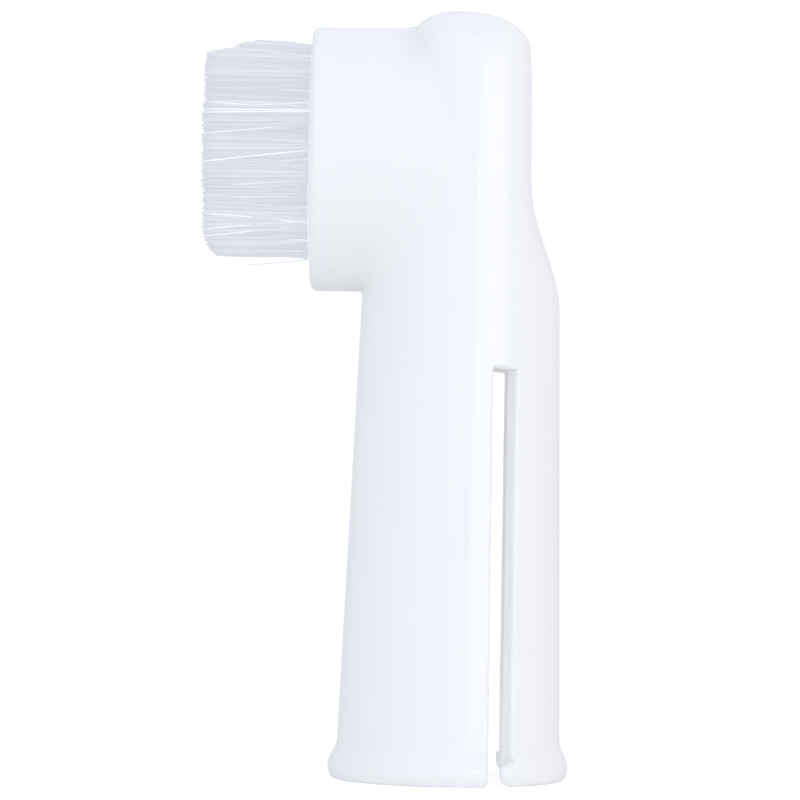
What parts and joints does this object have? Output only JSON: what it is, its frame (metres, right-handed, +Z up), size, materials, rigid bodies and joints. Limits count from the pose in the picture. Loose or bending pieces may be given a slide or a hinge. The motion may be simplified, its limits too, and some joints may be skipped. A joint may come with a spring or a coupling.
{
  "type": "finger toothbrush",
  "caption": "Finger toothbrush for a pet: a tapered plastic finger sleeve with a sprung back tongue, a rolled rim and an oval boss of nylon bristles.",
  "frame": {"origin": "centre of the sleeve's mouth, in the plane of the rim", "axes": "+Z up the sleeve to the fingertip, -X the way the bristles point, +X the side of the sprung back tongue, +Y across"},
  "size_m": [0.0342, 0.022, 0.07],
  "materials": {
    "moulding": "satin injection moulding, slightly translucent white",
    "bristle": "fine translucent nylon filament",
    "anchor_wire": "drawn flat wire"
  },
  "bodies": {
    "finger_sleeve": {"sleeve": "moulding", "tongue_web": "moulding", "tuft_anchors": "anchor_wire", "tuft_c1_r1": "bristle", "tuft_c1_r2": "bristle", "tuft_c1_r3": "bristle", "tuft_c2_r1": "bristle", "tuft_c2_r2": "bristle", "tuft_c2_r3": "bristle", "tuft_c2_r4": "bristle", "tuft_c2_r5": "bristle", "tuft_c2_r6": "bristle", "tuft_c3_r1": "bristle", "tuft_c3_r2": "bristle", "tuft_c3_r3": "bristle", "tuft_c3_r4": "bristle", "tuft_c3_r5": "bristle", "tuft_c3_r6": "bristle", "tuft_c3_r7": "bristle", "tuft_c4_r1": "bristle", "tuft_c4_r2": "bristle", "tuft_c4_r3": "bristle", "tuft_c4_r4": "bristle", "tuft_c4_r5": "bristle", "tuft_c4_r6": "bristle", "tuft_c4_r7": "bristle", "tuft_c4_r8": "bristle", "tuft_c5_r1": "bristle", "tuft_c5_r2": "bristle", "tuft_c5_r3": "bristle", "tuft_c5_r4": "bristle", "tuft_c5_r5": "bristle", "tuft_c5_r6": "bristle", "tuft_c5_r7": "bristle", "tuft_c6_r1": "bristle", "tuft_c6_r2": "bristle", "tuft_c6_r3": "bristle", "tuft_c6_r4": "bristle", "tuft_c6_r5": "bristle", "tuft_c6_r6": "bristle", "tuft_c7_r1": "bristle", "tuft_c7_r2": "bristle", "tuft_c7_r3": "bristle"},
    "tongue": {"back_tongue": "moulding"}
  },
  "joints": [
    {"name": "tongue_flex", "type": "hinge", "parent": "finger_sleeve", "child": "tongue", "pos_m": [0.0078, 0, 0.03686], "axis": [0, -1, 0], "range_deg": [-1.5, 6], "stiffness_Nm_per_rad": 0.15, "deforming": ["tongue_web"]}
  ]
}
